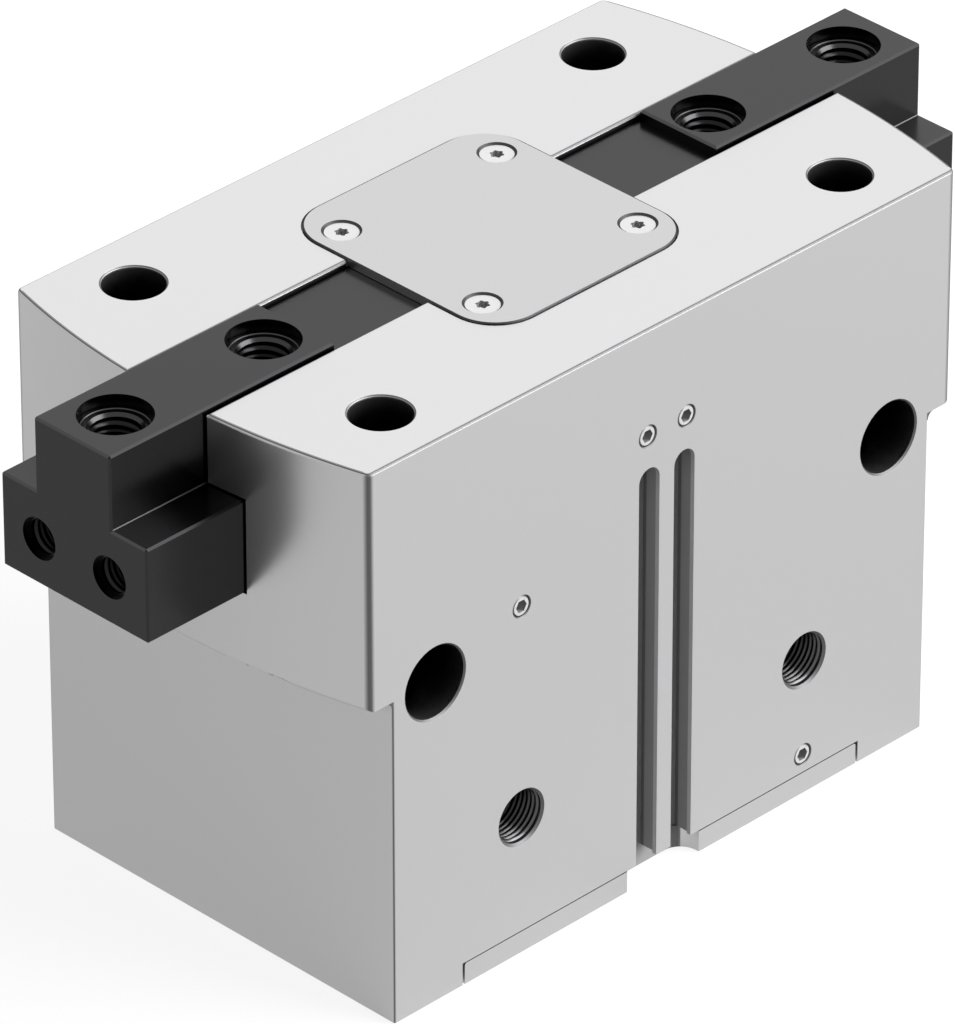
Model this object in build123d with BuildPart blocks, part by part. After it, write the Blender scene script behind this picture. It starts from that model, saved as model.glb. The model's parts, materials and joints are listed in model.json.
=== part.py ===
import os
from math import sqrt
from build123d import *

os.makedirs("parts", exist_ok=True)

# Two-jaw parallel gripper, sizes in millimetres.
# The origin is at the centre of the underside, Z is up and the jaws travel along X.
# Drawn with the jaws open, which is the piston's top position.

# Housing block: a shorter lower part under a longer upper part with bowed ends
body_height = 101.1
body_width = 76.7
upper_length = 127.6
end_bow = 5.15
lower_length = 118.1
step_height = 58.8
upper_corner = 1.0
lower_corner = 0.35
rim_round = 0.5
slot_round = 0.5
step_inner_round = 1.3
step_outer_round = 1.1

# Travel of each jaw; the 45 degree wedge turns an equal piston stroke into it
stroke = 16.0

# Jaws: a wide guide bar with a narrower web standing through the slot in the top
jaw_reach = 88.25
jaw_bottom = 72.2
jaw_bar_height = 16.6
jaw_bar_width = 31.85
jaw_web_width = 16.6
jaw_proud = 0.7
jaw_step_x = 41.6
jaw_recess = 1.2
jaw_edge = 0.35
web_gap = 0.4
bar_side_gap = 0.35
bar_top_gap = 0.3
bar_floor_gap = 0.05
jaw_centre_gap = 3.3

# Finger fixings on the jaws: two seats on top and two threads in the end face
seat_far_x = 79.2
seat_near_x = 48.4
seat_radius = 5.95
seat_depth = 2.3
seat_thread_radius = 4.0
seat_thread_depth = 19.0
seat_cone = 0.5
end_thread_y = 7.7
end_thread_height = 8.25
end_thread_radius = 3.0
end_thread_depth = 14.0
end_mouth_radius = 3.6
end_mouth_depth = 1.1

# Mounting holes and air ports in the housing
mount_x = 50.0
mount_y = 26.9
mount_radius = 5.1
mount_rim = 0.25
cross_radius = 6.25
cross_rim = 0.28
cross_height = 58.2
port_x = 31.5
port_height = 25.05
port_radius = 4.6
port_rim = 0.4
port_depth = 13.0

# Channel plugs on the long side
plug_radius = 1.85
plug_length = 4.0
plug_sunk = 0.1
plug_rim = 0.15
plug_chamfer = 0.3
plug_socket = 1.0
plug_socket_depth = 1.8
grease_x = 4.25
grease_height = 82.0
purge_x = 31.5
purge_height = 63.5
lower_air_x = 31.6
lower_air_height = 7.3
channel_radius = 1.2
drop_channel_radius = 1.6
drop_channel_inset = 8.35

# Two sensor grooves on the long side
groove_x = 3.85
groove_mouth = 4.5
groove_lip = 0.8
groove_inside = 5.4
groove_depth = 4.0
groove_top = 76.1

# Cylinder: bore, the wall above it and the chamber of the wedge
bore_radius = 31.5
bore_top = 41.0
chamber_floor = 52.5
chamber_end_gap = 0.9
chamber_corner = 3.0

# Bottom plate in its cross groove, with a cut-out below the sensor grooves
plate_thickness = 4.0
plate_length = 87.7
plate_gap = 0.5
plate_side_edge = 0.2
plate_end_edge = 0.5
notch_width = 16.1
notch_depth = 4.1
notch_corner = 3.6
plate_screw_end_inset = 5.85
plate_screw_side_inset = 16.35
plate_screw_radius = 2.5
plate_screw_head = 4.6
plate_screw_length = 14.0
plate_seal_radius = 32.7
plate_seal_section = 0.6

# Top cover plate over the guide slot
cover_length = 44.3
cover_width = 46.6
cover_corner = 8.0
cover_thickness = 1.4
cover_edge = 0.2
cover_pocket = 1.1
cover_gap = 0.3
cover_screw_x = 16.9
cover_screw_y = 15.35
cover_screw_radius = 1.5
cover_screw_seat = 3.2
cover_screw_sunk = 0.3
cover_screw_length = 8.0

# Piston with its seals, guide ring, magnet and stop rings
piston_end_gap = 0.5
piston_clear = 0.1
piston_core = 28.0
ring_land = 0.9
ring_height = 2.4
rim_step = 2.0
ring_groove_floor = 27.6
stop_ring_inner = 16.5
stop_ring_outer = 22.0
stop_ring_height = 1.7
stop_ring_proud = 0.3

# Rod and what runs on it
rod_radius = 10.0
rod_spigot = 6.0
rod_clear = 0.05
nut_across = 18.0
nut_height = 8.0
nut_recess = 13.0
bush_outer = 14.0
bush_length = 5.0
rod_seal_outer = 13.0
rod_seal_height = 3.0
circlip_height = 1.2
circlip_groove = 14.7
circlip_inner = 11.9

# Wedge: 45 degree flanks with a hooked rail on each
wedge_width = 16.0
wedge_floor_gap = 0.3
wedge_top_gap = 4.0
wedge_half_length = 31.0
rail_neck_width = 6.4
rail_head_width = 11.0
rail_neck_depth = 3.0
rail_head_depth = 3.0
rail_overhang = 3.6
rail_gap = 0.1
wedge_spigot_depth = 8.0
wedge_screw_radius = 3.0
wedge_screw_head = 5.0
wedge_screw_head_height = 6.0
wedge_screw_length = 26.0

# Dependent levels and positions
half_width = body_width / 2
jaw_inner_x = stroke + jaw_centre_gap
front = -half_width
jaw_bar_top = jaw_bottom + jaw_bar_height
jaw_top = body_height + jaw_proud
recess_level = body_height - jaw_recess
guide_floor = jaw_bottom - bar_floor_gap
guide_ceiling = jaw_bar_top + bar_top_gap
guide_half = jaw_bar_width / 2 + bar_side_gap
mouth_half = jaw_web_width / 2 + web_gap
pocket_floor = body_height - cover_pocket
chamber_half = wedge_half_length + rail_overhang + chamber_end_gap
drop_channel_y = half_width - drop_channel_inset
plate_screw_x = plate_length / 2 - plate_screw_end_inset
plate_screw_y = half_width - plate_screw_side_inset

piston_thickness = bore_top - plate_thickness - stroke - 2 * piston_end_gap
piston_top = bore_top - piston_end_gap
piston_base = piston_top - piston_thickness
first_groove = piston_base + rim_step + (
    piston_thickness - 2 * rim_step - 4 * ring_height - 3 * ring_land) / 2
groove_levels = [first_groove + i * (ring_height + ring_land) for i in range(4)]
nut_seat = piston_base + nut_height + 2.0

wedge_sum = wedge_half_length + jaw_bottom
wedge_base = chamber_floor + stroke + wedge_floor_gap
wedge_top = pocket_floor - wedge_top_gap
spigot_top = wedge_base + wedge_spigot_depth
screw_seat = wedge_top - wedge_screw_head_height - 2.0
bush_base = bore_top + circlip_height + 0.3
bush_top = bush_base + bush_length
seal_top = bush_top + rod_seal_height

front_plane = Plane(origin=(0, front, 0), x_dir=(1, 0, 0), z_dir=(0, -1, 0))
top_plane = Plane.XY.offset(body_height)
low = (Align.CENTER, Align.CENTER, Align.MIN)
high = (Align.CENTER, Align.CENTER, Align.MAX)


def pairs(x, y):
    return [(sx * x, sy * y) for sx in (-1, 1) for sy in (-1, 1)]


def drill(plane, points, radius, depth, rim=0.0):
    """Cuts round holes into a plane, each with an optional conical rim."""
    with Locations(plane):
        with Locations(*points):
            Cylinder(radius, depth, align=high, mode=Mode.SUBTRACT)
            if rim > 0:
                Cone(radius, radius + rim, rim, align=high, mode=Mode.SUBTRACT)


def disc(radius, low_z, high_z, centre=(0, 0), mode=Mode.ADD):
    """Upright cylinder between two levels."""
    with Locations((centre[0], centre[1], low_z)):
        Cylinder(radius, high_z - low_z, align=low, mode=mode)


def ring(outer, inner, low_z, high_z):
    """Flat ring around the Z axis."""
    disc(outer, low_z, high_z)
    disc(inner, low_z, high_z, mode=Mode.SUBTRACT)


def block(size_x, size_y, low_z, high_z, mode=Mode.ADD):
    """Box centred on the Z axis between two levels."""
    with Locations((0, 0, low_z)):
        Box(size_x, size_y, high_z - low_z, align=low, mode=mode)


def slab_xz(points, width, mode=Mode.ADD):
    """Solid of a closed outline in the XZ plane, centred on Y = 0."""
    with BuildSketch(Plane.XZ) as outline_xz:
        with BuildLine():
            Polyline(*points, close=True)
        make_face()
    extrude(outline_xz.sketch, amount=width / 2, both=True, mode=mode)


# Housing
with BuildPart() as housing:
    end_x = upper_length / 2
    with BuildSketch(Plane.XY.offset(step_height)):
        with BuildLine():
            ThreePointArc((end_x, -half_width), (end_x + end_bow, 0), (end_x, half_width))
            Line((end_x, half_width), (-end_x, half_width))
            ThreePointArc((-end_x, half_width), (-end_x - end_bow, 0), (-end_x, -half_width))
            Line((-end_x, -half_width), (end_x, -half_width))
        make_face()
    extrude(amount=body_height - step_height)
    corners = housing.edges().filter_by(Axis.Z).filter_by(lambda e: abs(e.center().X) > end_x - 1)
    fillet(corners, upper_corner)
    fillet(housing.faces().sort_by(Axis.Z)[-1].outer_wire().edges(), rim_round)

    # Rounded lower rim of each bowed end
    bow_radius = (half_width ** 2 + end_bow ** 2) / (2 * end_bow)
    bow_centre = end_x + end_bow - bow_radius
    for side in (-1, 1):
        rim_x = side * (bow_centre + bow_radius)
        with BuildSketch(Plane.XZ):
            with BuildLine():
                Polyline((rim_x, step_height + step_outer_round), (rim_x + side, step_height - 1),
                         (rim_x - side * step_outer_round, step_height))
                RadiusArc((rim_x - side * step_outer_round, step_height),
                          (rim_x, step_height + step_outer_round), -side * step_outer_round)
            make_face()
        revolve(axis=Axis((side * bow_centre, 0, 0), (0, 0, 1)), mode=Mode.SUBTRACT)
    block(lower_length, body_width, 0, step_height)
    lower_corners = housing.edges().filter_by(Axis.Z).filter_by(
        lambda e: e.center().Z < step_height and abs(abs(e.center().X) - lower_length / 2) < 0.01)
    fillet(lower_corners, lower_corner)
    inner_x = lower_length / 2
    inner_z = step_height - step_inner_round
    for side in (-1, 1):
        with BuildSketch(Plane.XZ):
            with BuildLine():
                Polyline((side * (inner_x + step_inner_round), step_height),
                         (side * (inner_x - lower_corner), step_height),
                         (side * (inner_x - lower_corner), inner_z), (side * inner_x, inner_z))
                RadiusArc((side * inner_x, inner_z),
                          (side * (inner_x + step_inner_round), step_height),
                          side * step_inner_round)
            make_face()
        extrude(amount=half_width, both=True)

    # Guide slot for the jaws, open at both ends
    slot_length = upper_length + 4 * end_bow
    block(slot_length, 2 * guide_half, guide_floor, guide_ceiling, Mode.SUBTRACT)
    block(slot_length, 2 * mouth_half, guide_floor, body_height + 1, Mode.SUBTRACT)
    with BuildSketch(Plane.YZ):
        with BuildLine():
            Polyline((-mouth_half, body_height - slot_round), (mouth_half, body_height - slot_round))
            RadiusArc((mouth_half, body_height - slot_round),
                      (mouth_half + slot_round, body_height), slot_round)
            Polyline((mouth_half + slot_round, body_height),
                     (mouth_half + slot_round, body_height + 1),
                     (-mouth_half - slot_round, body_height + 1),
                     (-mouth_half - slot_round, body_height))
            RadiusArc((-mouth_half - slot_round, body_height),
                      (-mouth_half, body_height - slot_round), slot_round)
        make_face()
    extrude(amount=slot_length / 2, both=True, mode=Mode.SUBTRACT)

    # Pocket of the top cover plate
    with BuildSketch(Plane.XY.offset(pocket_floor)):
        RectangleRounded(cover_length + 2 * cover_gap, cover_width + 2 * cover_gap,
                         cover_corner + cover_gap)
    extrude(amount=cover_pocket + 1, mode=Mode.SUBTRACT)
    pocket_plane = Plane.XY.offset(pocket_floor)
    drill(pocket_plane, pairs(cover_screw_x, cover_screw_y), cover_screw_radius,
          cover_screw_length)
    sunk_depth = cover_screw_seat - cover_screw_radius - cover_thickness
    if sunk_depth > 0:
        with Locations(pocket_plane):
            with Locations(*pairs(cover_screw_x, cover_screw_y)):
                Cone(cover_screw_radius, cover_screw_radius + sunk_depth, sunk_depth,
                     align=high, mode=Mode.SUBTRACT)

    # Chamber of the wedge, milled down from the guide slot
    with BuildSketch(Plane.XY.offset(chamber_floor)):
        RectangleRounded(2 * chamber_half, 2 * mouth_half, chamber_corner)
    extrude(amount=guide_floor - chamber_floor + 1, mode=Mode.SUBTRACT)

    # Cylinder bore and the stepped rod guide above it
    disc(bore_radius, -1, bore_top, mode=Mode.SUBTRACT)
    disc(bush_outer, bore_top - 1, bush_top, mode=Mode.SUBTRACT)
    disc(circlip_groove, bore_top + 0.3, bush_base, mode=Mode.SUBTRACT)
    disc(rod_seal_outer, bush_top - 0.5, seal_top, mode=Mode.SUBTRACT)
    disc(rod_radius + 0.3, seal_top - 0.5, guide_floor + 1, mode=Mode.SUBTRACT)

    # Cross groove of the bottom plate and its screw holes
    block(plate_length + 2 * plate_gap, body_width + 1, -1, plate_thickness, Mode.SUBTRACT)
    for cx, cy in pairs(plate_screw_x, plate_screw_y):
        disc(plate_screw_radius, plate_thickness - 1, plate_screw_length, (cx, cy), Mode.SUBTRACT)

    # Mounting holes, upright and crosswise, right through the block
    drill(top_plane, pairs(mount_x, mount_y), mount_radius, body_height + 1, mount_rim)
    cross_points = [(-mount_x, cross_height), (mount_x, cross_height)]
    drill(front_plane, cross_points, cross_radius, body_width + 1, cross_rim)
    back_plane = Plane(origin=(0, half_width, 0), x_dir=(1, 0, 0), z_dir=(0, 1, 0))
    drill(back_plane, [(x, -z) for x, z in cross_points], cross_radius, 1.0, cross_rim)

    # Air ports, the channels behind them and the closed service holes
    drill(front_plane, [(-port_x, port_height), (port_x, port_height)], port_radius,
          port_depth, port_rim)
    seat_depth_y = plug_length + plug_sunk
    drill(front_plane, [(-grease_x, grease_height), (grease_x, grease_height),
                        (-purge_x, purge_height), (lower_air_x, lower_air_height)],
          plug_radius, seat_depth_y, plug_rim)
    drill(front_plane, [(-grease_x, grease_height), (grease_x, grease_height)],
          channel_radius, half_width - guide_half + 1)
    drill(front_plane, [(-purge_x, purge_height)], channel_radius, half_width - mouth_half + 1)
    drill(front_plane, [(lower_air_x, lower_air_height)], channel_radius, half_width - 6)
    disc(drop_channel_radius, plate_thickness - 1, port_height,
         (lower_air_x, -drop_channel_y), Mode.SUBTRACT)
    port_end = Vector(-port_x, front + port_depth - channel_radius, port_height)
    entry_height = bore_top - channel_radius - 0.3
    entry = Vector(port_end.X, port_end.Y, 0).normalized() * bore_radius + Vector(0, 0, entry_height)
    rise = entry - port_end
    with Locations(Plane(origin=port_end, z_dir=rise)):
        Cylinder(channel_radius, rise.length, align=low, mode=Mode.SUBTRACT)

    # Sensor grooves: a narrow mouth over a wider inside, round at the top
    for gx in (-groove_x, groove_x):
        for width, start, stop in ((groove_mouth, -1.0, groove_depth),
                                   (groove_inside, groove_lip, groove_depth)):
            with BuildSketch(front_plane.offset(-stop)):
                top_centre = groove_top - groove_mouth / 2
                with Locations((gx, top_centre / 2)):
                    Rectangle(width, top_centre)
                with Locations((gx, top_centre)):
                    Circle(width / 2)
            extrude(amount=stop - start, mode=Mode.SUBTRACT)
housing.part.label = "housing"
export_step(housing.part, "parts/housing.step")


# Bottom plate, flush with both long sides
with BuildPart() as bottom_plate:
    block(plate_length, body_width, 0, plate_thickness)
    with BuildSketch():
        with Locations((0, front)):
            Rectangle(notch_width, 2 * notch_depth)
    cut = extrude(amount=plate_thickness, mode=Mode.SUBTRACT)
    notch_edges = bottom_plate.edges().filter_by(Axis.Z).filter_by(
        lambda e: abs(e.center().Y - front - notch_depth) < 0.01 and abs(e.center().X) < notch_width)
    fillet(notch_edges, notch_corner)
    top_edges = bottom_plate.faces().sort_by(Axis.Z)[-1].outer_wire().edges()
    chamfer(top_edges.filter_by(lambda e: abs(abs(e.center().X) - plate_length / 2) < 0.01),
            plate_end_edge)
    side_edges = bottom_plate.edges().filter_by(Axis.X).filter_by(
        lambda e: abs(e.center().Z - plate_thickness) < 0.01
        and abs(abs(e.center().Y) - half_width) < 0.01)
    chamfer(side_edges, plate_side_edge)
    for cx, cy in pairs(plate_screw_x, plate_screw_y):
        head_depth = plate_screw_head - plate_screw_radius
        disc(plate_screw_radius + 0.15, 0, plate_thickness, (cx, cy), Mode.SUBTRACT)
        with Locations((cx, cy, 0)):
            Cone(plate_screw_head + 0.1, plate_screw_radius + 0.1, head_depth,
                 align=low, mode=Mode.SUBTRACT)
    groove_low = plate_thickness - 2 * plate_seal_section
    with BuildSketch(Plane.XY.offset(groove_low)):
        Circle(plate_seal_radius + plate_seal_section)
        Circle(plate_seal_radius - plate_seal_section, mode=Mode.SUBTRACT)
    extrude(amount=2 * plate_seal_section, mode=Mode.SUBTRACT)
bottom_plate.part.label = "bottom_plate"
export_step(bottom_plate.part, "parts/bottom_plate.step")


with BuildPart() as bottom_plate_seal:
    with Locations((0, 0, plate_thickness - plate_seal_section)):
        Torus(plate_seal_radius, plate_seal_section)
bottom_plate_seal.part.label = "bottom_plate_seal"
export_step(bottom_plate_seal.part, "parts/bottom_plate_seal.step")


with BuildPart() as bottom_plate_screws:
    for cx, cy in pairs(plate_screw_x, plate_screw_y):
        disc(plate_screw_radius, 0.1, plate_screw_length, (cx, cy))
        with Locations((cx, cy, 0.1)):
            Cone(plate_screw_head, plate_screw_radius, plate_screw_head - plate_screw_radius,
                 align=low)
        with BuildSketch(Plane.XY.offset(0.1)):
            with Locations((cx, cy)):
                RegularPolygon(1.5, 6, major_radius=False)
        extrude(amount=2.2, mode=Mode.SUBTRACT)
bottom_plate_screws.part.label = "bottom_plate_screws"
export_step(bottom_plate_screws.part, "parts/bottom_plate_screws.step")


# Pressed ball that closes the drilled drop to the lower chamber
with BuildPart() as channel_ball:
    with Locations((lower_air_x, -drop_channel_y, plate_thickness + drop_channel_radius)):
        Sphere(drop_channel_radius)
channel_ball.part.label = "channel_ball"
export_step(channel_ball.part, "parts/channel_ball.step")


# Top cover plate with countersunk corners
with BuildPart() as top_cover_plate:
    with BuildSketch(Plane.XY.offset(pocket_floor)):
        RectangleRounded(cover_length, cover_width, cover_corner)
    extrude(amount=cover_thickness)
    chamfer(top_cover_plate.faces().sort_by(Axis.Z)[-1].edges(), cover_edge)
    cover_plane = Plane.XY.offset(pocket_floor + cover_thickness)
    drill(cover_plane, pairs(cover_screw_x, cover_screw_y), cover_screw_radius, cover_thickness)
    with Locations(cover_plane):
        with Locations(*pairs(cover_screw_x, cover_screw_y)):
            Cone(cover_screw_seat - cover_thickness, cover_screw_seat, cover_thickness,
                 align=high, mode=Mode.SUBTRACT)
top_cover_plate.part.label = "top_cover_plate"
export_step(top_cover_plate.part, "parts/top_cover_plate.step")


def cover_screw(x, y):
    """Countersunk screw whose flat head lies just below the plate."""
    top = pocket_floor + cover_thickness - cover_screw_sunk
    head = cover_screw_seat - cover_screw_sunk
    disc(cover_screw_radius, pocket_floor - cover_screw_length, top, (x, y))
    with Locations((x, y, top)):
        Cone(cover_screw_radius, head, head - cover_screw_radius, align=high)


with BuildPart() as top_cover_screws:
    for cx, cy in pairs(cover_screw_x, cover_screw_y):
        cover_screw(cx, cy)
top_cover_screws.part.label = "top_cover_screws"
export_step(top_cover_screws.part, "parts/top_cover_screws.step")


def plug(x, z):
    """Set screw with a hexagon socket, sunk a little into the long side."""
    with Locations(front_plane):
        with Locations((x, z, -plug_sunk)):
            Cone(plug_radius, plug_radius - plug_chamfer, plug_chamfer, align=high)
        with Locations((x, z, -plug_sunk - plug_chamfer)):
            Cylinder(plug_radius, plug_length - plug_chamfer, align=high)
    with BuildSketch(front_plane.offset(-plug_sunk)) as socket:
        with Locations((x, z)):
            RegularPolygon(plug_socket, 6, major_radius=False)
    extrude(socket.sketch, amount=-plug_socket_depth, mode=Mode.SUBTRACT)


with BuildPart() as grease_plug_left:
    plug(-grease_x, grease_height)
grease_plug_left.part.label = "grease_plug_left"
export_step(grease_plug_left.part, "parts/grease_plug_left.step")

with BuildPart() as grease_plug_right:
    plug(grease_x, grease_height)
grease_plug_right.part.label = "grease_plug_right"
export_step(grease_plug_right.part, "parts/grease_plug_right.step")

with BuildPart() as purge_air_plug:
    plug(-purge_x, purge_height)
purge_air_plug.part.label = "purge_air_plug"
export_step(purge_air_plug.part, "parts/purge_air_plug.step")

with BuildPart() as lower_air_plug:
    plug(lower_air_x, lower_air_height)
lower_air_plug.part.label = "lower_air_plug"
export_step(lower_air_plug.part, "parts/lower_air_plug.step")


# Rod guide, held from below by a retaining ring
with BuildPart() as rod_bush:
    ring(bush_outer, rod_radius + rod_clear, bush_base, bush_top)
rod_bush.part.label = "rod_bush"
export_step(rod_bush.part, "parts/rod_bush.step")

with BuildPart() as rod_seal:
    ring(rod_seal_outer, rod_radius + rod_clear, bush_top, seal_top)
rod_seal.part.label = "rod_seal"
export_step(rod_seal.part, "parts/rod_seal.step")

with BuildPart() as retaining_ring:
    ring(circlip_groove, circlip_inner, bush_base - circlip_height, bush_base)
    with Locations((0, -circlip_groove, bush_base - circlip_height)):
        Box(5.0, 2 * (circlip_groove - circlip_inner) + 1, circlip_height, align=low,
            mode=Mode.SUBTRACT)
retaining_ring.part.label = "retaining_ring"
export_step(retaining_ring.part, "parts/retaining_ring.step")


# Piston and the rings it carries
with BuildPart() as piston:
    disc(piston_core, piston_base, piston_top)
    disc(bore_radius - piston_clear, piston_base + rim_step, piston_top - rim_step)
    for level in groove_levels:
        with BuildSketch(Plane.XY.offset(level)):
            Circle(bore_radius + 1)
            Circle(ring_groove_floor, mode=Mode.SUBTRACT)
        extrude(amount=ring_height, mode=Mode.SUBTRACT)
    disc(nut_recess, piston_base - 1, nut_seat, mode=Mode.SUBTRACT)
    disc(rod_spigot, piston_base, piston_top, mode=Mode.SUBTRACT)
    ring_seat = stop_ring_height - stop_ring_proud
    for start in (piston_base - 1, piston_top - ring_seat):
        with BuildSketch(Plane.XY.offset(start)):
            Circle(stop_ring_outer)
            Circle(stop_ring_inner, mode=Mode.SUBTRACT)
        extrude(amount=ring_seat + (1 if start < piston_base else 0), mode=Mode.SUBTRACT)
piston.part.label = "piston"
export_step(piston.part, "parts/piston.step")

seal_edge = bore_radius - 0.05

with BuildPart() as piston_seal_lower:
    ring(seal_edge, ring_groove_floor, groove_levels[0], groove_levels[0] + ring_height)
piston_seal_lower.part.label = "piston_seal_lower"
export_step(piston_seal_lower.part, "parts/piston_seal_lower.step")

with BuildPart() as piston_magnet:
    ring(bore_radius - 0.6, ring_groove_floor, groove_levels[1], groove_levels[1] + ring_height)
piston_magnet.part.label = "piston_magnet"
export_step(piston_magnet.part, "parts/piston_magnet.step")

with BuildPart() as piston_guide_ring:
    ring(seal_edge, ring_groove_floor, groove_levels[2], groove_levels[2] + ring_height)
piston_guide_ring.part.label = "piston_guide_ring"
export_step(piston_guide_ring.part, "parts/piston_guide_ring.step")

with BuildPart() as piston_seal_upper:
    ring(seal_edge, ring_groove_floor, groove_levels[3], groove_levels[3] + ring_height)
piston_seal_upper.part.label = "piston_seal_upper"
export_step(piston_seal_upper.part, "parts/piston_seal_upper.step")

with BuildPart() as stop_ring_lower:
    ring(stop_ring_outer, stop_ring_inner, piston_base - stop_ring_proud,
         piston_base + stop_ring_height - stop_ring_proud)
stop_ring_lower.part.label = "stop_ring_lower"
export_step(stop_ring_lower.part, "parts/stop_ring_lower.step")

with BuildPart() as stop_ring_upper:
    ring(stop_ring_outer, stop_ring_inner, piston_top - stop_ring_height + stop_ring_proud,
         piston_top + stop_ring_proud)
stop_ring_upper.part.label = "stop_ring_upper"
export_step(stop_ring_upper.part, "parts/stop_ring_upper.step")


# Rod with a reduced end in the piston and another in the wedge
with BuildPart() as piston_rod:
    disc(rod_radius, piston_top, wedge_base)
    disc(rod_spigot, nut_seat - nut_height, spigot_top)
    disc(wedge_screw_radius, screw_seat - wedge_screw_length, spigot_top, mode=Mode.SUBTRACT)
piston_rod.part.label = "piston_rod"
export_step(piston_rod.part, "parts/piston_rod.step")

with BuildPart() as piston_nut:
    with BuildSketch(Plane.XY.offset(nut_seat - nut_height)):
        RegularPolygon(nut_across / 2, 6, major_radius=False)
        Circle(rod_spigot, mode=Mode.SUBTRACT)
    extrude(amount=nut_height)
piston_nut.part.label = "piston_nut"
export_step(piston_nut.part, "parts/piston_nut.step")


def rail(side, start, stop, width):
    """Inclined strip along one flank of the wedge, between two heights above it."""
    near = wedge_sum + start * sqrt(2)
    far = wedge_sum + stop * sqrt(2)
    outer_x = wedge_half_length + rail_overhang
    if near - jaw_bottom < outer_x:
        points = [(near - jaw_bottom, jaw_bottom), (outer_x, jaw_bottom)]
    else:
        points = [(outer_x, near - outer_x)]
    points += [(outer_x, far - outer_x), (far - wedge_top, wedge_top),
               (near - wedge_top, wedge_top)]
    slab_xz([(side * x, z) for x, z in points], width)


# Wedge between the jaws
with BuildPart() as wedge_hook:
    top_half = wedge_sum - wedge_top
    outline = [(-wedge_half_length, wedge_base), (wedge_half_length, wedge_base),
               (wedge_half_length, jaw_bottom), (top_half, wedge_top),
               (-top_half, wedge_top), (-wedge_half_length, jaw_bottom)]
    slab_xz(outline, wedge_width)
    full_depth = rail_neck_depth + rail_head_depth
    for side in (-1, 1):
        rail(side, -1.0, rail_neck_depth, rail_neck_width)
        rail(side, rail_neck_depth, full_depth, rail_head_width)
    disc(rod_spigot, wedge_base, spigot_top, mode=Mode.SUBTRACT)
    disc(wedge_screw_radius + 0.3, spigot_top - 1, screw_seat, mode=Mode.SUBTRACT)
    disc(wedge_screw_head + 0.4, screw_seat, wedge_top, mode=Mode.SUBTRACT)
wedge_hook.part.label = "wedge_hook"
export_step(wedge_hook.part, "parts/wedge_hook.step")

with BuildPart() as wedge_screw:
    disc(wedge_screw_head, screw_seat, screw_seat + wedge_screw_head_height)
    disc(wedge_screw_radius, screw_seat - wedge_screw_length, screw_seat)
    with BuildSketch(Plane.XY.offset(screw_seat + wedge_screw_head_height)):
        RegularPolygon(2.5, 6, major_radius=False)
    extrude(amount=-3.0, mode=Mode.SUBTRACT)
wedge_screw.part.label = "wedge_screw"
export_step(wedge_screw.part, "parts/wedge_screw.step")


def jaw(side, builder):
    """One jaw: guide bar, web, inclined slot for the wedge and the finger fixings."""
    face_sum = wedge_sum + rail_gap
    bar = [(face_sum - jaw_bottom, jaw_bottom), (jaw_reach, jaw_bottom), (jaw_reach, jaw_bar_top),
           (jaw_inner_x, jaw_bar_top), (jaw_inner_x, face_sum - jaw_inner_x)]
    slab_xz([(side * x, z) for x, z in bar], jaw_bar_width)
    web = [(jaw_inner_x, jaw_bar_top), (jaw_reach, jaw_bar_top), (jaw_reach, jaw_top),
           (jaw_step_x, jaw_top), (jaw_step_x, recess_level), (jaw_inner_x, recess_level)]
    slab_xz([(side * x, z) for x, z in web], jaw_web_width)

    def on_edge(e):
        c = e.center()
        at_end = abs(abs(c.X) - jaw_reach) < 0.01 and e.length > 2
        long_edge = e.length > (jaw_reach - jaw_step_x) * 0.9 and (
            (abs(c.Z - jaw_top) < 0.01 and abs(abs(c.Y) - jaw_web_width / 2) < 0.01)
            or (abs(abs(c.Y) - jaw_bar_width / 2) < 0.01
                and (abs(c.Z - jaw_bar_top) < 0.01 or abs(c.Z - jaw_bottom) < 0.01)))
        step = abs(abs(c.X) - jaw_step_x) < 0.01 and abs(c.Z - jaw_top) < 0.01
        return at_end or long_edge or step

    chamfer(builder.edges().filter_by(on_edge), jaw_edge)

    # Slot that takes the wedge's rail, run out past the jaw on both ends
    lift = sqrt(2)
    for start, stop, width in (
            (-2.0, rail_neck_depth, rail_neck_width + 2 * rail_gap),
            (rail_neck_depth - rail_gap, rail_neck_depth + rail_head_depth + rail_gap,
             rail_head_width + 2 * rail_gap)):
        near, far = wedge_sum + start * lift, wedge_sum + stop * lift
        bottom, top = jaw_bottom - 10, wedge_top + 10
        points = [(near - bottom, bottom), (far - bottom, bottom),
                  (far - top, top), (near - top, top)]
        slab_xz([(side * x, z) for x, z in points], width, Mode.SUBTRACT)

    seats = [(side * seat_near_x, 0), (side * seat_far_x, 0)]
    seat_plane = Plane.XY.offset(jaw_top)
    drill(seat_plane, seats, seat_radius, seat_depth)
    drill(Plane.XY.offset(jaw_top - seat_depth), seats, seat_thread_radius,
          seat_thread_depth, seat_cone)
    end_plane = Plane(origin=(side * jaw_reach, 0, 0), x_dir=(0, 1, 0), z_dir=(side, 0, 0))
    level = side * (jaw_bottom + end_thread_height)
    end_points = [(-end_thread_y, level), (end_thread_y, level)]
    drill(end_plane, end_points, end_mouth_radius, end_mouth_depth)
    drill(end_plane, end_points, end_thread_radius, end_thread_depth)


with BuildPart() as jaw_left:
    jaw(-1, jaw_left)
jaw_left.part.label = "jaw_left"
export_step(jaw_left.part, "parts/jaw_left.step")

with BuildPart() as jaw_right:
    jaw(1, jaw_right)
jaw_right.part.label = "jaw_right"
export_step(jaw_right.part, "parts/jaw_right.step")
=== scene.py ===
import json
import math

import bpy
from mathutils import Matrix, Vector


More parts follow.
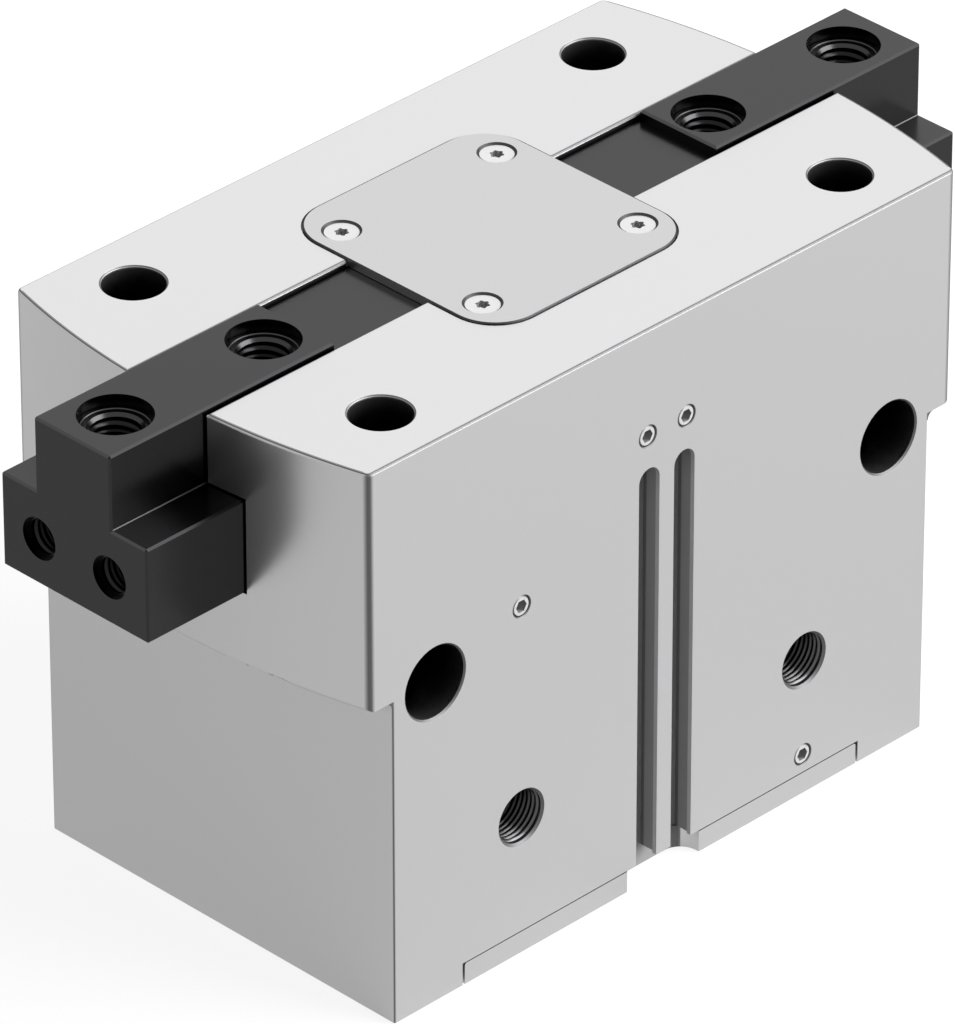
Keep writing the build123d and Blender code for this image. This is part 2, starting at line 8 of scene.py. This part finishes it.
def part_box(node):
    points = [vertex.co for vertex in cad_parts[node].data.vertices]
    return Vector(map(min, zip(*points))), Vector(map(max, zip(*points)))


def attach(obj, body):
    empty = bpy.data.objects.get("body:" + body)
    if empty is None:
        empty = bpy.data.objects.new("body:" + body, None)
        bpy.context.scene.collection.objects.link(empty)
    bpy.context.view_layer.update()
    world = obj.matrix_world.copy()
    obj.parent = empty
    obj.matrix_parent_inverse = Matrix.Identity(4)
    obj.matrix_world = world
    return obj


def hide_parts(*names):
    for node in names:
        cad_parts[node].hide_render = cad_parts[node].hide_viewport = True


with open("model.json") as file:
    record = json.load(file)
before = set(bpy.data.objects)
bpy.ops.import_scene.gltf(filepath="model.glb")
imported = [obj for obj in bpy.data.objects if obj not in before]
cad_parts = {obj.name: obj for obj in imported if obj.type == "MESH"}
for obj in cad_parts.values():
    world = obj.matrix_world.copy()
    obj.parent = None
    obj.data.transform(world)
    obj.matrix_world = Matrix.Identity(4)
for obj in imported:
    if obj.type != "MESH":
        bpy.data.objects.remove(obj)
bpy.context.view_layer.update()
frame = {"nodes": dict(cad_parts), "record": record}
MM = 0.001

# Sizes in millimetres that the looks need. Threads: radii, pitch, where the ridge starts and
# ends below the mouth, and the angle in degrees at which it starts.
seat_thread = {"root": 4.0, "crest": 3.4, "pitch": 1.25, "start": 3.3, "depth": 17.0, "from": 225}
end_thread = {"root": 3.0, "crest": 2.5, "pitch": 1.0, "start": 1.5, "depth": 12.5, "from": 315}
port_thread = {"root": 4.6, "crest": 4.25, "pitch": 0.907, "start": 0.8, "depth": 11.5, "from": 135}
ridge_sink = 0.04
ridge_foot, ridge_tip = 0.34, 0.05
turn_steps, run_in_steps = 40, 8
seat_places = (48.4, 79.2)
end_thread_y, end_thread_z = 7.7, 80.45
port_x, port_z = 31.5, 25.05

# Jaws: small fillets beside the web and round the seats' floors, and the cone of each seat
web_half, bar_top, corner_fillet, fillet_sink = 8.3, 88.8, 0.18, 0.01
web_fillet_x = (55.0, 87.9)
seat_floor, seat_ring_steps = 99.5, 64
seat_fillet = ((5.5, 0.13), (5.43, 0.07), (5.34, 0.01))
seat_cone_z = (98.8, 99.6)

# Cover screws
cover_screw_x, cover_screw_y = 16.9, 15.35
screw_head_radius, screw_shank_radius, screw_edge = 2.88, 1.5, 0.12
socket_outer, socket_inner, socket_depth = 1.2, 0.92, 1.0

# Bowed ends of the block and the rounding of their top rim
bow_radius, bow_middle, bow_start, bow_stop = 145.36, 68.95, 9.25, 37.25
rim_radius, rim_lift, rim_steps = 0.5, 0.012, 24
rim_line_angles, rim_band_angles = (0, 7, 14), (14, 30, 45, 60, 75, 90)

# Places on the block where its finish differs and where shade is painted, as limits of |x|, y, |y|
# and z
upper_corner_x, upper_corner_y, upper_corner_z = (62.75, 63.4), (37.3, 38.0), (58.8, 100.8)
lower_corner_x, lower_corner_y, step_z = (58.7, 58.95), (38.0, 38.25), 58.8
rim_band_z, rim_line_z = (100.62, 101.08), (100.93, 101.08)
holes_x, side_holes_y, side_holes_z = 62.0, 37.5, 100.5
bolt_holes_y, bolt_rim_z = (20.0, 34.0), 100.7
slot_half, slot_wall_z = 8.8, (88.0, 100.62)
plate_half, plate_front_y, plate_edge_z = 43.85, 38.0, (3.8, 3.99)
grooves_x, grooves_top, grooves_y = 7.0, 76.5, (-38.3, -33.8)
groove_lip_y, groove_foot_y = (-38.3, -37.55), (-35.15, -34.45)
dull_roughness = 0.5

# Parts of a face's normal: the largest one on flat faces and on slopes, the y and z of slopes
# that face the front panel, and the y and z that tell the jaws' side edges from their upper ones
flat_normal, slope_normal = 0.955, 0.84
front_normal_y, front_normal_z = (-0.2, -0.5), (0.25, 0.4)
side_normal_y, upper_normal_z = (0.3, 0.5), 0.3


def srgb(code):
    """Linear colour of an sRGB hex code."""
    parts = [int(code[i:i + 2], 16) / 255 for i in (1, 3, 5)]
    return [p / 12.92 if p <= 0.04045 else ((p + 0.055) / 1.055) ** 2.4 for p in parts] + [1.0]


def add(tree, kind, values=None, links=None, **settings):
    """Adds a node with its settings, socket values and incoming links."""
    made = tree.nodes.new(kind)
    for key, value in settings.items():
        setattr(made, key, value)
    for key, value in (values or {}).items():
        made.inputs[key].default_value = value
    for key, source in (links or {}).items():
        tree.links.new(source, made.inputs[key])
    return made


def maths(tree, operation, first, second):
    """One sum on a socket and another socket or a number."""
    if isinstance(second, (int, float)):
        node = add(tree, "ShaderNodeMath", {1: second}, {0: first}, operation=operation)
    else:
        node = add(tree, "ShaderNodeMath", links={0: first, 1: second}, operation=operation)
    return node.outputs[0]


def any_of(tree, first, *others):
    """Largest of shares: one where any of them is one."""
    for other in others:
        first = maths(tree, "MAXIMUM", first, other)
    return first


def all_of(tree, first, *others):
    """Product of shares: one only where every one of them is one."""
    for other in others:
        first = maths(tree, "MULTIPLY", first, other)
    return first


def spread(tree, value, low, high, start=0.0, stop=1.0):
    """Value carried from one range to another and held at its ends."""
    return add(tree, "ShaderNodeMapRange",
               {"From Min": low, "From Max": high, "To Min": start, "To Max": stop},
               {"Value": value}).outputs["Result"]


def rising(tree, value, low, high):
    """Nothing below the first place in millimetres, one above the second."""
    return spread(tree, value, low * MM, high * MM)


def within(tree, value, low, high, soft=0.02):
    """One between two places in millimetres, with soft ends."""
    return all_of(tree, rising(tree, value, low - soft, low + soft),
                  spread(tree, value, (high - soft) * MM, (high + soft) * MM, 1.0, 0.0))


def above(tree, value, place):
    """One above a place in millimetres."""
    return maths(tree, "GREATER_THAN", value, place * MM)


def below(tree, value, place):
    """One below a place in millimetres."""
    return maths(tree, "LESS_THAN", value, place * MM)


def blend_colour(tree, share, lower, upper):
    """Mix of two colours, each a socket or a hex code."""
    node = add(tree, "ShaderNodeMix", links={0: share}, data_type="RGBA")
    for place, term in ((6, lower), (7, upper)):
        if isinstance(term, str):
            node.inputs[place].default_value = srgb(term)
        else:
            tree.links.new(term, node.inputs[place])
    return node.outputs[2]


def axes(tree, vector, mirrored=False):
    """The three parts of a vector, without their signs where mirrored."""
    if mirrored:
        vector = add(tree, "ShaderNodeVectorMath", links={0: vector}, operation="ABSOLUTE").outputs[0]
    return add(tree, "ShaderNodeSeparateXYZ", links={0: vector}).outputs[:]


def slope_share(tree, normal):
    """One on chamfers, cones and rounds, whose faces lie between the axes."""
    largest = any_of(tree, *axes(tree, normal, mirrored=True))
    return spread(tree, largest, flat_normal, slope_normal)


# The tones of a finish are its colour by place, painted shade and painted highlights included,
# the share that is duller, the share that is matt and the colour of that matt share
def block_tones(tree, place, plain):
    """Painted shade on the upright corners, hole rims, a line inside the top rim, the rim's front,
    the jaw slot's walls and the lip and foot of the matt sensor grooves; corners and rims are duller.
    """
    x, y, z = axes(tree, place.outputs["Object"], mirrored=True)
    signed_y = axes(tree, place.outputs["Object"])[1]
    normal = axes(tree, place.outputs["Normal"])
    sloped = slope_share(tree, place.outputs["Normal"])
    # Painted shade: the upright corner rounds and the lower corners below the step are painted
    # darker, and also made duller
    corner = any_of(tree,
                    all_of(tree, rising(tree, x, *upper_corner_x), rising(tree, y, *upper_corner_y),
                           within(tree, z, *upper_corner_z, 0.1)),
                    all_of(tree, rising(tree, x, *lower_corner_x), rising(tree, y, *lower_corner_y),
                           below(tree, z, step_z)))
    rim_band = within(tree, z, *rim_band_z)
    # Painted shade: a darker, duller line inside the top rim
    rim_line = within(tree, z, *rim_line_z)
    # Painted shade: the rims of the side holes are painted darker and duller, the rims of the bolt
    # holes a little darker
    hole_rim = all_of(tree, sloped, below(tree, x, holes_x), above(tree, y, side_holes_y),
                      below(tree, z, side_holes_z))
    bolt_rim = all_of(tree, sloped, below(tree, x, holes_x), within(tree, y, *bolt_holes_y),
                      above(tree, z, bolt_rim_z))
    # Painted shade: the walls of the jaw slot are painted dark
    slot_wall = all_of(tree, below(tree, y, slot_half), within(tree, z, *slot_wall_z))
    # Painted shade: the rim band, where it faces the front panel, is painted darker over its
    # highlight; the whole band is duller
    facing_front = all_of(tree, spread(tree, normal[1], *front_normal_y),
                          spread(tree, normal[2], *front_normal_z))
    plate_joint = all_of(tree, below(tree, x, plate_half), above(tree, y, plate_front_y),
                         within(tree, z, *plate_edge_z, 0.01))
    dull = any_of(tree, corner, hole_rim, rim_line)
    # The colours below are painted shade, all but the dark plate joint
    colour = blend_colour(tree, all_of(tree, rim_band, facing_front), plain, "#606061")
    colour = blend_colour(tree, bolt_rim, colour, "#8E8E8F")
    colour = blend_colour(tree, slot_wall, colour, "#2E2E2F")
    colour = blend_colour(tree, dull, colour, "#606061")
    colour = blend_colour(tree, plate_joint, colour, "#1A1A1B")
    # Painted shade: the lip and the foot of the sensor grooves are darker than their matt middle
    groove = all_of(tree, below(tree, x, grooves_x), below(tree, z, grooves_top),
                    within(tree, signed_y, *grooves_y))
    groove_colour_and_shade = blend_colour(tree, within(tree, signed_y, *groove_lip_y), "#9C9C9D", "#C4C4C5")
    groove_colour_and_shade = blend_colour(tree, within(tree, signed_y, *groove_foot_y, 0.1), groove_colour_and_shade, "#6A6A6B")
    return colour, any_of(tree, dull, rim_band), groove, groove_colour_and_shade


def steel_tones(tree, place, plain):
    """Broken edges of the jaws: painted highlights on the upward ones, painted shade on the side
    ones, and a fainter painted highlight on the cones under the finger seats.
    """
    height = axes(tree, place.outputs["Object"])[2]
    across = axes(tree, place.outputs["Normal"], mirrored=True)[1]
    sideways = spread(tree, across, *side_normal_y)
    upward = maths(tree, "GREATER_THAN", axes(tree, place.outputs["Normal"])[2], upper_normal_z)
    sloped = all_of(tree, slope_share(tree, place.outputs["Normal"]), upward)
    cone = all_of(tree, sloped, within(tree, height, *seat_cone_z))
    # Painted highlight on upward edges, painted shade on side edges, a fainter painted highlight on
    # the seat cones
    edge = blend_colour(tree, sideways, "#484849", "#1F1F20")
    colour = blend_colour(tree, cone, blend_colour(tree, sloped, plain, edge), "#3A3A3B")
    return colour, None, None, None


def shaded_edge_tones(code):
    """Broken edges and countersinks of a small piece painted darker: painted shade, also duller."""
    def tones(tree, place, plain):
        edge = slope_share(tree, place.outputs["Normal"])
        return blend_colour(tree, edge, plain, code), edge, None, None
    return tones


def finish_material(name, colour, metallic, roughness, grain_mm, grain_height_mm,
                    stretch=(1, 1, 1), crevice="#000000", crevice_mm=25.0, openness=(0.3, 0.75),
                    alone=True, tones=None):
    """A surface with one colour and a fine grain of a real size, stretched along a lay.

    Holes and gaps, where little light gets in, sink towards the crevice colour, which is painted
    shade from ambient occlusion; alone leaves the neighbours out of that. The tones are the places
    where the finish differs and where shade and highlights are painted.
    """
    material = bpy.data.materials.new(name)
    material.use_nodes = True
    tree = material.node_tree
    tree.nodes.clear()
    place = add(tree, "ShaderNodeTexCoord")
    lay = add(tree, "ShaderNodeMapping", {"Scale": stretch}, {"Vector": place.outputs["Object"]})
    grain = add(tree, "ShaderNodeTexNoise",
                {"Scale": 1 / (grain_mm * MM), "Detail": 2.0, "Roughness": 0.5},
                {"Vector": lay.outputs["Vector"]})
    bump = add(tree, "ShaderNodeBump", {"Strength": 1.0, "Distance": grain_height_mm * MM},
               {"Height": grain.outputs["Fac"]})
    shader = add(tree, "ShaderNodeBsdfPrincipled", {"Metallic": metallic, "Roughness": roughness},
                 {"Normal": bump.outputs["Normal"]})
    dull = matt = matt_colour = None
    if tones:
        colour, dull, matt, matt_colour = tones(tree, place, colour)
    # Painted shade: ambient occlusion darkens holes and gaps towards the crevice colour
    open_sky = add(tree, "ShaderNodeAmbientOcclusion", {"Distance": crevice_mm * MM},
                   samples=8, only_local=alone)
    tint = blend_colour(tree, spread(tree, open_sky.outputs["AO"], *openness), crevice, colour)
    if dull:
        tree.links.new(spread(tree, dull, 0.0, 1.0, roughness, dull_roughness),
                       shader.inputs["Roughness"])
    if matt:
        tint = blend_colour(tree, matt, tint, matt_colour)
        tree.links.new(spread(tree, matt, 0.0, 1.0, metallic, 0.0), shader.inputs["Metallic"])
    tree.links.new(tint, shader.inputs["Base Color"])
    add(tree, "ShaderNodeOutputMaterial", links={"Surface": shader.outputs["BSDF"]})
    return material


# Glass-bead blasted aluminium under a clear anodised layer: pale, even and softly reflective.
# The blast grain is about 0.05 mm and is drawn at 0.3 mm so that it shows at all.
blasted_aluminium = finish_material("clear anodised aluminium", "#C4C4C5", 0.92, 0.28, 0.3, 0.001,
                                    crevice="#161617", tones=block_tones)
# Rolled aluminium sheet, a little darker and smoother than the block, with its cut edges painted
# dark: painted shade.
rolled_sheet = finish_material("rolled aluminium sheet", "#B5B5B6", 0.92, 0.28, 0.4, 0.0006,
                               stretch=(1, 0.05, 1), crevice="#101010", crevice_mm=2.0,
                               tones=shaded_edge_tones("#3C3C3D"))
# Ground, hardened and blackened steel: a thin dark oxide that still mirrors broadly.
black_steel = finish_material("blackened tool steel", "#363637", 1.0, 0.22, 0.2, 0.0006,
                              stretch=(0.06, 1, 1), crevice_mm=12.0, openness=(0.2, 0.55),
                              alone=False, tones=steel_tones)
# The same steel in the tapped holes, painted darker than the jaws and sinking to black: painted
# shade.
black_thread = finish_material("steel thread in painted shade", "#242425", 1.0, 0.25, 0.2, 0.0003,
                               crevice_mm=12.0, openness=(0.08, 0.5), alone=False)
# Small fillets left by the cutter, painted a little lighter than the jaws: painted highlight.
highlighted_fillet_steel = finish_material("steel fillet with painted highlight", "#404041", 1.0, 0.35, 0.2, 0.0003,
                               crevice_mm=1.0, openness=(0.0, 0.1))
# Cut thread in the block, painted far darker than the block and sinking to black: painted shade for
# the little light that gets in.
cut_thread = finish_material("cut thread in aluminium", "#565657", 0.92, 0.28, 0.2, 0.0003,
                             crevice_mm=12.0, openness=(0.08, 0.5), alone=False)
# Zinc-plated machine screws, bright with a soft mirror and painted darker at their edges: painted
# shade.
zinc_plate = finish_material("zinc plated steel", "#D0D0D1", 0.6, 0.25, 0.2, 0.0003,
                             crevice="#A0A0A1", crevice_mm=2.0, tones=shaded_edge_tones("#7A7A7B"))
# A duller line painted dark where the rounding of the block's top rim begins: painted shade.
rim_shade_line = finish_material("rim line in painted shade", "#6E6E6F", 0.92, 0.5, 0.3, 0.001, crevice_mm=1.0,
                            openness=(0.0, 0.1))
# Ground and polished steel of the hidden rod and wedge.
ground_steel = finish_material("ground steel", "#B4B4B6", 1.0, 0.25, 0.15, 0.0005)
# Turned aluminium of the piston, with a faint lay round its axis.
turned_aluminium = finish_material("turned aluminium", "#D0D0D2", 1.0, 0.3, 0.2, 0.001)
# Moulded nitrile rubber: black and dull.
nitrile_rubber = finish_material("nitrile rubber", "#141414", 0.0, 0.65, 0.5, 0.002)
# Bronze-filled PTFE strip.
filled_ptfe = finish_material("filled PTFE", "#4A3A2C", 0.0, 0.5, 0.3, 0.001)
# Plastic-bonded ferrite: dull dark grey.
bonded_ferrite = finish_material("bonded ferrite", "#2A2A2C", 0.0, 0.6, 0.3, 0.001)
# Sintered bronze of the rod bush, slightly porous.
sintered_bronze = finish_material("sintered bronze", "#9A7A4C", 1.0, 0.45, 0.25, 0.003)

finishes = {
    "anodised_aluminium": blasted_aluminium,
    "cover_sheet": rolled_sheet,
    "hardened_steel": black_steel,
    "bright_steel": ground_steel,
    "screw_steel": zinc_plate,
    "piston_aluminium": turned_aluminium,
    "seal_rubber": nitrile_rubber,
    "guide_plastic": filled_ptfe,
    "magnet_plastic": bonded_ferrite,
    "bush_bronze": sintered_bronze,
}
for part in frame["record"]["subparts"]:
    mesh = frame["nodes"][part["node"]].data
    mesh.materials.clear()
    mesh.materials.append(finishes[part["material_slot"]])


def link_new(name, mesh):
    """New object in the scene that carries a mesh."""
    made = bpy.data.objects.new(name, mesh)
    bpy.context.scene.collection.objects.link(made)
    return made


def new_mesh(name, points, faces):
    """Mesh from points in millimetres."""
    mesh = bpy.data.meshes.new(name)
    mesh.from_pydata([Vector(p) * MM for p in points], [], faces)
    return mesh


def make_smooth(mesh):
    """Rounds every face of a mesh in the light."""
    for polygon in mesh.polygons:
        polygon.use_smooth = True


def capped_rings(name, rings):
    """Closed mesh of point rings joined in order, with a fan over both ends."""
    points = [p for ring in rings for p in ring]
    count = len(rings[0])
    faces = []
    for level in range(len(rings) - 1):
        for i in range(count):
            a, b = level * count + i, level * count + (i + 1) % count
            faces.append((a, b, b + count, a + count))
    for ring, start, turned in ((rings[0], 0, True), (rings[-1], len(points) - count, False)):
        points.append(tuple(sum(p[k] for p in ring) / count for k in range(3)))
        for i in range(count):
            edge = (start + i, start + (i + 1) % count)
            faces.append((*(reversed(edge) if turned else edge), len(points) - 1))
    return new_mesh(name, points, faces)


def thread_ridge(name, thread, direction):
    """Ridge of a tapped hole as one screw line that runs in and out, its axis along direction."""
    count = turn_steps * int((thread["depth"] - thread["start"]) / thread["pitch"])
    base = thread["root"] + ridge_sink
    tall = base - thread["crest"]
    profile = [(0.0, ridge_foot), (tall, ridge_tip), (tall, -ridge_tip), (0.0, -ridge_foot)]
    points, faces = [], []
    for i in range(count + 1):
        angle = math.radians(thread["from"]) - 2 * math.pi * i / turn_steps
        height = min(1.0, i / run_in_steps, (count - i) / run_in_steps)
        for rise, along in profile:
            radius = base - rise * height
            points.append((radius * math.cos(angle), radius * math.sin(angle),
                           thread["pitch"] * (along - i / turn_steps)))
    for i in range(count):
        for k in range(len(profile) - 1):
            a = i * len(profile) + k
            faces.append((a, a + len(profile), a + len(profile) + 1, a + 1))
    mesh = new_mesh(name, points, faces)
    mesh.transform(Vector((0, 0, 1)).rotation_difference(Vector(direction)).to_matrix().to_4x4())
    return mesh


def repeat_tree(name, material):
    """Places a copy of one piece at every point of the object that carries the tree."""
    tree = bpy.data.node_groups.new(name, "GeometryNodeTree")
    face = tree.interface
    face.new_socket("Places", in_out="INPUT", socket_type="NodeSocketGeometry")
    face.new_socket("Piece", in_out="INPUT", socket_type="NodeSocketObject")
    face.new_socket("Geometry", in_out="OUTPUT", socket_type="NodeSocketGeometry")
    given = add(tree, "NodeGroupInput")
    piece = add(tree, "GeometryNodeObjectInfo", links={"Object": given.outputs["Piece"]})
    places = add(tree, "GeometryNodeInstanceOnPoints",
                 links={"Points": given.outputs["Places"], "Instance": piece.outputs["Geometry"]})
    solid = add(tree, "GeometryNodeRealizeInstances", links={"Geometry": places.outputs["Instances"]})
    finish = add(tree, "GeometryNodeSetMaterial", {"Material": material},
                 {"Geometry": solid.outputs["Geometry"]})
    add(tree, "NodeGroupOutput", links={"Geometry": finish.outputs["Geometry"]})
    return tree


def repeat(name, piece_mesh, places, material):
    """Plain mesh object with copies of a piece at the given places, in millimetres."""
    piece = link_new(name + " piece", piece_mesh)
    carrier = link_new(name + " carrier", new_mesh(name + " places", places, []))
    modifier = carrier.modifiers.new("repeat", "NODES")
    modifier.node_group = repeat_tree(name, material)
    sockets = {s.name: s.identifier for s in modifier.node_group.interface.items_tree
               if s.in_out == "INPUT"}
    modifier[sockets["Piece"]] = piece
    bpy.context.view_layer.update()
    graph = bpy.context.evaluated_depsgraph_get()
    mesh = bpy.data.meshes.new_from_object(carrier.evaluated_get(graph))
    mesh.name = name
    for spare in (carrier, piece):
        bpy.data.objects.remove(spare)
    return link_new(name, mesh)


def tapped_holes(name, thread, mouths, direction, material, body):
    """Thread ridges in a row of equal holes, from their start below each mouth inwards."""
    places = [Vector(mouth) - Vector(direction) * thread["start"] for mouth in mouths]
    made = repeat(name, thread_ridge(name + " ridge", thread, direction), places, material)
    make_smooth(made.data)
    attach(made, body)


def strip(name, sections, body, material):
    """Smooth band through a row of sections, each a list of points in millimetres."""
    count = len(sections[0])
    faces = [(k * count + i, (k + 1) * count + i, (k + 1) * count + i + 1, k * count + i + 1)
             for k in range(len(sections) - 1) for i in range(count - 1)]
    mesh = new_mesh(name, [p for section in sections for p in section], faces)
    make_smooth(mesh)
    mesh.materials.append(material)
    made = link_new(name, mesh)
    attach(made, body)


def web_fillet(side, flank):
    """Sections of the fillet between guide bar and web on one flank of a jaw."""
    corner = [(web_half + corner_fillet, bar_top + fillet_sink),
              (web_half + 0.3 * corner_fillet, bar_top + 0.3 * corner_fillet),
              (web_half + fillet_sink, bar_top + corner_fillet)]
    if side * flank > 0:
        corner.reverse()
    return [[(side * x, flank * y, z) for y, z in corner] for x in web_fillet_x]


def seat_ring(centre):
    """Sections of the fillet round the floor of a finger seat."""
    sections = []
    for i in range(seat_ring_steps + 1):
        angle = 2 * math.pi * i / seat_ring_steps
        sections.append([(centre + r * math.cos(angle), r * math.sin(angle), seat_floor + rise)
                         for r, rise in seat_fillet])
    return sections


# Threads and small fillets of the jaws
for side, body, node in ((-1, "left_jaw_body", "jaw_left"), (1, "right_jaw_body", "jaw_right")):
    low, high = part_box(node)
    top = high.z / MM
    reach = max(abs(low.x), abs(high.x)) / MM
    tapped_holes(node + "_seat_threads", seat_thread, [(side * x, 0, top) for x in seat_places],
                 (0, 0, 1), black_thread, body)
    tapped_holes(node + "_end_threads", end_thread,
                 [(side * reach, y, end_thread_z) for y in (-end_thread_y, end_thread_y)],
                 (side, 0, 0), black_thread, body)
    for flank, place in ((-1, "front"), (1, "back")):
        strip(node + "_" + place + "_fillet", web_fillet(side, flank), body,
              highlighted_fillet_steel)
    for place, x in zip(("near", "far"), seat_places):
        strip(node + "_" + place + "_seat_fillet", seat_ring(side * x), body,
              highlighted_fillet_steel)

# Threads of the air ports
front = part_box("housing")[0].y / MM
tapped_holes("port_threads", port_thread, [(-port_x, front, port_z), (port_x, front, port_z)],
             (0, -1, 0), cut_thread, "housing_body")

# Rounded top rims of the bowed ends: a duller line in painted shade inside, then a band as bright as
# the block
rim_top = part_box("housing")[1].z / MM


def rim_sections(end, flank, angles):
    """Points across the rounding for places along one half of a bowed end."""
    sections = []
    for k in range(rim_steps + 1):
        y = flank * (bow_start + (bow_stop - bow_start) * k / rim_steps)
        lean = math.asin(y / bow_radius)
        section = []
        for angle in angles:
            t = math.radians(angle)
            radial = bow_radius - rim_radius + (rim_radius + rim_lift) * math.sin(t)
            section.append((end * (bow_middle - bow_radius + radial * math.cos(lean)),
                            radial * math.sin(lean),
                            rim_top - rim_radius + (rim_radius + rim_lift) * math.cos(t)))
        sections.append(section)
    return sections if end * flank < 0 else sections[::-1]


for end, end_name in ((-1, "left"), (1, "right")):
    for flank, flank_name in ((-1, "front"), (1, "back")):
        name = end_name + "_" + flank_name + "_rim"
        strip(name + "_line", rim_sections(end, flank, rim_line_angles), "housing_body",
              rim_shade_line)
        strip(name + "_band", rim_sections(end, flank, rim_band_angles), "housing_body",
              blasted_aluminium)


def circle(radius, level, lobe=0.0, count=48):
    """Ring of points; lobe adds the six bumps of the socket."""
    ring = []
    for i in range(count):
        angle = 2 * math.pi * i / count
        r = radius + lobe * math.cos(6 * angle)
        ring.append((r * math.cos(angle), r * math.sin(angle), level))
    return ring


# Countersunk cover screws with six-lobed sockets
screw_low, screw_high = (c.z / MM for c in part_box("top_cover_screws"))
socket_mean = (socket_outer + socket_inner) / 2
socket_lobe = (socket_outer - socket_inner) / 2
screw_mesh = capped_rings("cover screw", [
    circle(screw_shank_radius, screw_low - screw_high),
    circle(screw_shank_radius, screw_shank_radius - screw_head_radius),
    circle(screw_head_radius, -screw_edge),
    circle(screw_head_radius - screw_edge, 0),
    circle(socket_mean, 0, socket_lobe),
    circle(socket_mean, -socket_depth, socket_lobe),
])
cover_screws = repeat("cover_screws", screw_mesh,
                      [(sx * cover_screw_x, sy * cover_screw_y, screw_high)
                       for sx in (-1, 1) for sy in (-1, 1)], zinc_plate)
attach(cover_screws, "housing_body")
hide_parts("top_cover_screws")

# Pale floor: white to the camera, a little less in reflections, and it keeps a soft shadow
floor_half, floor_drop = 6000.0, -0.3
glow_to_camera, glow_in_gloss = 0.85, 0.67
floor_corners = [(x * floor_half, y * floor_half, floor_drop)
                 for x, y in ((-1, -1), (1, -1), (1, 1), (-1, 1))]
floor = link_new("floor", new_mesh("floor", floor_corners, [(0, 1, 2, 3)]))
floor_paint = bpy.data.materials.new("matt white floor")
floor_paint.use_nodes = True
tree = floor_paint.node_tree
tree.nodes.clear()
ray = add(tree, "ShaderNodeLightPath")
glow = any_of(tree, maths(tree, "MULTIPLY", ray.outputs["Is Camera Ray"], glow_to_camera),
              maths(tree, "MULTIPLY", ray.outputs["Is Glossy Ray"], glow_in_gloss))
paint = add(tree, "ShaderNodeBsdfDiffuse", {"Color": srgb("#7E7E7E")})
light = add(tree, "ShaderNodeEmission", {"Color": srgb("#FFFFFF")}, {"Strength": glow})
lit_paint = add(tree, "ShaderNodeAddShader", links={0: paint.outputs[0], 1: light.outputs[0]})
add(tree, "ShaderNodeOutputMaterial", links={"Surface": lit_paint.outputs[0]})
floor.data.materials.append(floor_paint)

# Studio light: a white room that lights weakly by itself, a large soft panel above the front
# right and a wider one at the back, which lies in the gloss of the upper faces
room_glow = 0.3
object_middle = Vector((0, 0, 0.05))
world = bpy.data.worlds.new("studio")
bpy.context.scene.world = world
world.use_nodes = True
tree = world.node_tree
ray = add(tree, "ShaderNodeLightPath")
seen = any_of(tree, ray.outputs["Is Camera Ray"], ray.outputs["Is Glossy Ray"])
background = tree.nodes["Background"]
background.inputs["Color"].default_value = srgb("#FFFFFF")
tree.links.new(spread(tree, seen, 0.0, 1.0, room_glow, 1.0), background.inputs["Strength"])


def panel(name, place, size, watts):
    """Square lamp that faces the middle of the object."""
    lamp = bpy.data.lights.new(name, "AREA")
    lamp.size = size
    lamp.energy = watts
    holder = link_new(name, lamp)
    holder.location = place
    holder.rotation_euler = (Vector(place) - object_middle).to_track_quat("Z", "Y").to_euler()


panel("panel front", (0.95, -1.17, 0.85), 1.6, 61)
panel("panel back", (1.6, 1.6, 1.45), 2.4, 7.9)

# Camera at the photograph's viewing angle: place, right and up from the matched view
camera_place = Vector((-1.01349, -1.01380, 0.94578))
camera_right = Vector((0.70775, -0.70646, -0.00096))
camera_up = Vector((0.37508, 0.37461, 0.84793))
focal_pixels = 10802.0
frame_height = 1024
lens = bpy.data.cameras.new("camera")
lens.sensor_width = 36.0
lens.lens = lens.sensor_width * focal_pixels / frame_height
camera = link_new("camera", lens)
turn = Matrix((camera_right, camera_up, camera_right.cross(camera_up))).transposed()
camera.matrix_world = Matrix.Translation(camera_place) @ turn.to_4x4()
bpy.context.scene.camera = camera
bpy.context.scene.view_settings.view_transform = "Standard"
